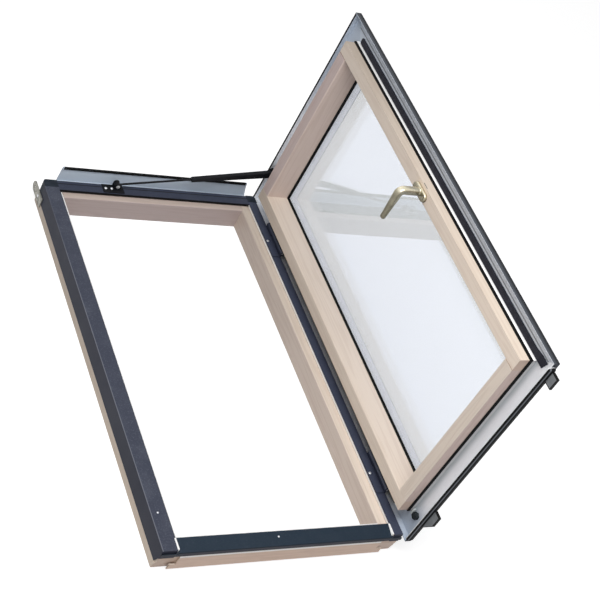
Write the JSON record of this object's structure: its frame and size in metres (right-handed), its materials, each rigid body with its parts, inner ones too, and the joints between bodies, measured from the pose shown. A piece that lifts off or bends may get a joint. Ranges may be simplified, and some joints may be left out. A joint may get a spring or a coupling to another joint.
{
  "type": "roof skylight",
  "caption": "Side-hung timber roof skylight with metal cladding, double glazing, hinges, a lever handle with lock bolt and a telescopic stay that holds the sash open.",
  "frame": {"origin": "centre of the frame opening, on the room side of the frame", "axes": "+X across the window towards the hinges, +Y up the roof slope, +Z out of the roof"},
  "size_m": [0.7344, 1.258, 0.758],
  "materials": {
    "pine": "satin lacquer",
    "dark_cladding": "satin",
    "grey_sheet": "satin",
    "black_rubber": "matte",
    "dark_plastic": "matte",
    "pale_foam": "matte",
    "galvanised_steel": "zinc",
    "steel": "brushed",
    "aluminium": "satin",
    "clear_glass": "polished",
    "bronze": "satin"
  },
  "bodies": {
    "frame": {"jamb_lock_side": "pine", "jamb_hinge_side": "pine", "head_rail": "pine", "sill_rail": "pine", "jamb_cladding_lock_side": "dark_cladding", "jamb_cladding_hinge_side": "dark_cladding", "head_cladding": "dark_cladding", "sill_cladding": "dark_cladding", "stay_bracket": "dark_cladding", "rain_hood": "grey_sheet", "frame_gasket": "black_rubber", "corner_cap_lock_side": "dark_plastic", "corner_cap_hinge_side": "dark_plastic", "sill_end_seals": "pale_foam", "mounting_strap_lock_side": "galvanised_steel", "mounting_strap_hinge_side": "galvanised_steel", "strap_screws": "galvanised_steel", "hinge_frame_leaf_upper": "steel", "hinge_frame_leaf_lower": "steel", "hinge_pin_upper": "steel", "hinge_pin_lower": "steel", "hinge_frame_screws": "steel", "lock_keeper": "steel", "stay_bracket_screws": "steel", "stay_pin": "steel"},
    "sash": {"hinge_stile": "pine", "lock_stile": "pine", "sash_top_rail": "pine", "sash_bottom_rail": "pine", "inner_pane": "clear_glass", "outer_pane": "clear_glass", "setting_blocks": "black_rubber", "glass_edge_seal": "black_rubber", "glass_spacer": "aluminium", "inner_glazing_gasket": "black_rubber", "outer_glazing_gasket": "black_rubber", "cover_lock_side": "dark_cladding", "cover_hinge_side": "dark_cladding", "cover_top": "dark_cladding", "cover_bottom": "dark_cladding", "seal_carrier": "aluminium", "sash_seal": "black_rubber", "lock_side_bulb": "black_rubber", "drip_rail": "dark_plastic", "hold_down_clips": "dark_plastic", "corner_buffer": "black_rubber", "hinge_side_strip": "dark_plastic", "hinge_sash_leaf_upper": "steel", "hinge_sash_leaf_lower": "steel", "hinge_sash_screws": "steel", "stay_sash_bracket": "dark_cladding", "stay_rivet": "steel", "handle_rose": "bronze", "lock_case": "galvanised_steel"},
    "handle": {"handle_lever": "bronze", "handle_spindle": "steel"},
    "bolt": {"lock_bolt": "galvanised_steel"},
    "rod": {"stay_rod": "steel"},
    "sleeve": {"stay_sleeve": "steel"}
  },
  "joints": [
    {"name": "sash_hinge", "type": "hinge", "parent": "frame", "child": "sash", "pos_m": [0.329, 0, 0.09], "axis": [0, 1, 0], "range_deg": [-90, 0]},
    {"name": "handle_turn", "type": "hinge", "parent": "sash", "child": "handle", "pos_m": [0.29, 0, 0.6815], "axis": [1, 0, 0], "range_deg": [-90, 0]},
    {"name": "lock_bolt_throw", "type": "slide", "parent": "sash", "child": "bolt", "axis": [0, 0, 1], "range_m": [0, 0.009]},
    {"name": "stay_swing", "type": "hinge", "parent": "frame", "child": "rod", "pos_m": [-0.118, 0.58, 0.089], "axis": [0, 1, 0], "range_deg": [0, 9.62]},
    {"name": "stay_slide", "type": "slide", "parent": "rod", "child": "sleeve", "axis": [0.9803, 0, 0.1974], "range_m": [-0.11, 0]}
  ],
  "couplings": [
    {"joint": "lock_bolt_throw", "follows": "handle_turn", "m_per_rad": -0.0057296},
    {"joint": "stay_swing", "follows": "sash_hinge", "ratio": -0.1068},
    {"joint": "stay_slide", "follows": "sash_hinge", "m_per_rad": 0.070027}
  ]
}
